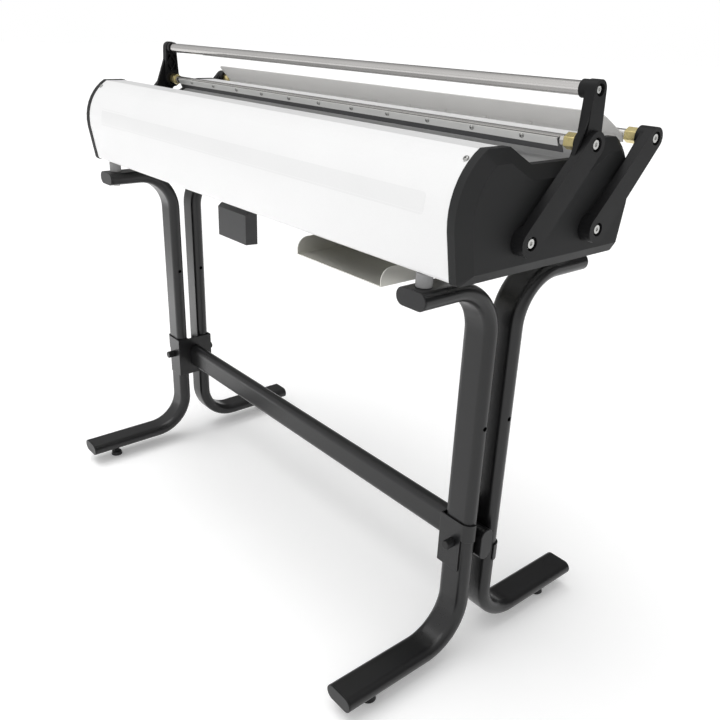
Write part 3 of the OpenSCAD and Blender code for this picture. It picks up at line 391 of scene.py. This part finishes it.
def screw_tree():
    """Sets a screw on each point, along the point's axis and turned by its spin."""
    tree = bpy.data.node_groups.new("screws_on_points", "GeometryNodeTree")
    tree.interface.new_socket("Geometry", in_out="OUTPUT", socket_type="NodeSocketGeometry")
    wanted = {"Geometry": "Geometry", "Screw": "Object", "Scale": "Float", "Steel": "Material"}
    for label, kind in wanted.items():
        tree.interface.new_socket(label, in_out="INPUT", socket_type="NodeSocket" + kind)
    given = add(tree, "NodeGroupInput").outputs
    points = add(tree, "GeometryNodeMeshToPoints", {"Mesh": given["Geometry"]}).outputs["Points"]
    axis = add(tree, "GeometryNodeInputNamedAttribute", {"Name": "axis"}, data_type="FLOAT_VECTOR").outputs[0]
    spin = add(tree, "GeometryNodeInputNamedAttribute", {"Name": "spin"}, data_type="FLOAT").outputs[0]
    aimed = add(tree, "FunctionNodeAlignRotationToVector", {"Vector": axis}, axis="Z").outputs["Rotation"]
    turn = add(tree, "FunctionNodeAxisAngleToRotation", {"Angle": spin}).outputs["Rotation"]
    turned = add(tree, "FunctionNodeRotateRotation", {"Rotation": aimed, "Rotate By": turn},
                 rotation_space="LOCAL").outputs["Rotation"]
    shape = add(tree, "GeometryNodeObjectInfo", {"Object": given["Screw"]}).outputs["Geometry"]
    placed = add(tree, "GeometryNodeInstanceOnPoints",
                 {"Points": points, "Instance": shape, "Scale": given["Scale"], "Rotation": turned})
    real = add(tree, "GeometryNodeRealizeInstances", {"Geometry": placed.outputs["Instances"]})
    done = add(tree, "GeometryNodeSetMaterial",
               {"Geometry": real.outputs["Geometry"], "Material": given["Steel"]})
    add(tree, "NodeGroupOutput", {"Geometry": done.outputs["Geometry"]})
    return tree


screws_on_points = screw_tree()


def seats(node):
    """Seat and outward axis of each screw of a CAD node, read from its solids: every one is round about its
    own axis, widest where its head sits, and longer below its seat than above it."""
    shell = bmesh.new()
    shell.from_mesh(merged(node))
    left = set(shell.verts)
    found = []
    while left:
        todo = [left.pop()]
        points = []
        while todo:
            vert = todo.pop()
            points.append(vert.co[:])
            near = {edge.other_vert(vert) for edge in vert.link_edges} & left
            left -= near
            todo += near
        points = np.array(points)
        middle = points.mean(axis=0)
        spread, axes = np.linalg.eigh(np.cov((points - middle).T))
        axis = axes[:, 2] if spread[2] - spread[1] > spread[1] - spread[0] else axes[:, 0]
        along = (points - middle) @ axis
        wide = np.linalg.norm(points - middle - np.outer(along, axis), axis=1)
        rim = along[wide > RIM_SHARE * wide.max()]
        seat = rim.min()
        if seat - along.min() < along.max() - seat:
            axis, seat = -axis, -rim.max()
        found.append((middle + seat * axis, axis))
    shell.free()
    return sorted(found, key=lambda place: tuple(np.round(place[0], SEAT_DIGITS)))


def screws(node, shape, scale, steel):
    """Screws of one CAD node, each turned a little further than the one before."""
    places = seats(node)
    mesh = bpy.data.meshes.new(node + "_piece")
    mesh.from_pydata([seat for seat, axis in places], [], [])
    axes = mesh.attributes.new("axis", "FLOAT_VECTOR", "POINT")
    axes.data.foreach_set("vector", np.concatenate([axis for seat, axis in places]))
    spins = mesh.attributes.new("spin", "FLOAT", "POINT")
    spins.data.foreach_set("value", [SCREW_SPIN * i for i in range(len(places))])
    piece = in_scene(node + "_piece", mesh)
    setter = piece.modifiers.new("screws", "NODES")
    setter.node_group = screws_on_points
    sockets = screws_on_points.interface.items_tree
    inputs = {item.name: item.identifier for item in sockets if item.in_out == "INPUT"}
    setter[inputs["Screw"]] = shape
    setter[inputs["Scale"]] = scale
    setter[inputs["Steel"]] = steel
    plain_mesh(piece)
    stand_for(piece, node)


m4 = screw_shape("m4_button_screw", head_r=3.5, head_h=2.2, socket_r=1.25)
screws("strip_screws", m4, scale=1.1, steel=dull_steel)
screws("guide_screws", m4, scale=1.0, steel=grey_sheet)
screws("cover_screws", m4, scale=1.25, steel=dull_steel)
bpy.data.objects.remove(m4)


# Floor, light and camera

# The floor reaches this far to each side, in metres, and lies just under the feet.
FLOOR_REACH = 30
FLOOR_DROP = 0.6 * MM

# The room: brightest toward the front and above, dimmest toward the back; the camera sees plain white.
# As a direction turns toward ROOM_BRIGHT, from one value of ROOM_FACING to the other, its light rises from
# one value of ROOM_LIGHT to the other.
ROOM_BRIGHT = Vector((0.05, -0.85, 0.524))
ROOM_FACING = (-0.4, 0.9)
ROOM_LIGHT = (0.15, 1.08)

# The camera, fitted to the photograph: its place in metres, and its angles in degrees. The azimuth runs from
# the front to the right.
CAMERA_PLACE = (1.251026, -0.907165, 1.067218)
CAMERA_AZIMUTH = 49.319
CAMERA_ELEVATION = 23.426
CAMERA_ROLL = 2.237

floor_mesh = bpy.data.meshes.new("floor")
ways = [(-1, -1), (1, -1), (1, 1), (-1, 1)]
floor_corners = [(FLOOR_REACH * x, FLOOR_REACH * y, -FLOOR_DROP) for x, y in ways]
floor_mesh.from_pydata(floor_corners, [], [(0, 1, 2, 3)])
floor = in_scene("floor", floor_mesh)
floor_paint = bpy.data.materials.new("pale_floor")
floor_paint.use_nodes = True
paint = floor_paint.node_tree.nodes["Principled BSDF"].inputs
paint["Base Color"].default_value = linear("#FDFDFD")
paint["Roughness"].default_value = 0.9
paint["Emission Color"].default_value = linear("#FFFFFF")
paint["Emission Strength"].default_value = 0.14
floor_mesh.materials.append(floor_paint)

world = bpy.data.worlds.new("studio")
bpy.context.scene.world = world
world.use_nodes = True
room = world.node_tree
toward = add(room, "ShaderNodeTexCoord").outputs["Generated"]
facing = add(room, "ShaderNodeVectorMath", {0: toward, 1: ROOM_BRIGHT}, operation="DOT_PRODUCT")
level = add(room, "ShaderNodeMapRange",
            {"Value": facing.outputs["Value"], "From Min": ROOM_FACING[0], "From Max": ROOM_FACING[1],
             "To Min": ROOM_LIGHT[0], "To Max": ROOM_LIGHT[1]}).outputs["Result"]
seen = add(room, "ShaderNodeLightPath").outputs["Is Camera Ray"]
shown = add(room, "ShaderNodeMix", {"Factor": seen, "A": level, "B": 1.0}, data_type="FLOAT").outputs[0]
room.nodes["Background"].inputs["Color"].default_value = (1, 1, 1, 1)
room.links.new(shown, room.nodes["Background"].inputs["Strength"])
bpy.context.scene.view_settings.view_transform = "Standard"


def aim(lamp, at, target):
    """Puts a lamp at one point, pointing at another, in metres."""
    obj = in_scene(lamp.name, lamp)
    obj.location = at
    obj.rotation_euler = (Vector(target) - Vector(at)).to_track_quat("-Z", "Y").to_euler()


# A wide soft key from nearly overhead
key = bpy.data.lights.new("key", "SUN")
key.energy = 1.1
key.angle = math.radians(50)
aim(key, at=(-0.3, -0.35, 2.4), target=(0, 0, 0))

# A wash on the floor at the left, which the stand's fronts mirror
wash = bpy.data.lights.new("floor_wash", "AREA")
wash.shape = "SQUARE"
wash.size = 0.9
wash.energy = 6
wash.spread = math.radians(60)
aim(wash, at=(-1.5, -0.75, 1.5), target=(-1.5, -0.75, 0))

camera = bpy.data.cameras.new("photo_view")
camera.lens = 38.82
camera.sensor_width = 36
camera.clip_end = 100
camera.shift_x = -0.0009
camera.shift_y = 0.0007
view = in_scene("photo_view", camera)
pan = Matrix.Rotation(math.radians(CAMERA_AZIMUTH), 4, "Z")
tilt = Matrix.Rotation(math.radians(90 - CAMERA_ELEVATION), 4, "X")
roll = Matrix.Rotation(math.radians(CAMERA_ROLL), 4, "Z")
view.matrix_world = Matrix.Translation(CAMERA_PLACE) @ pan @ tilt @ roll
bpy.context.scene.camera = view
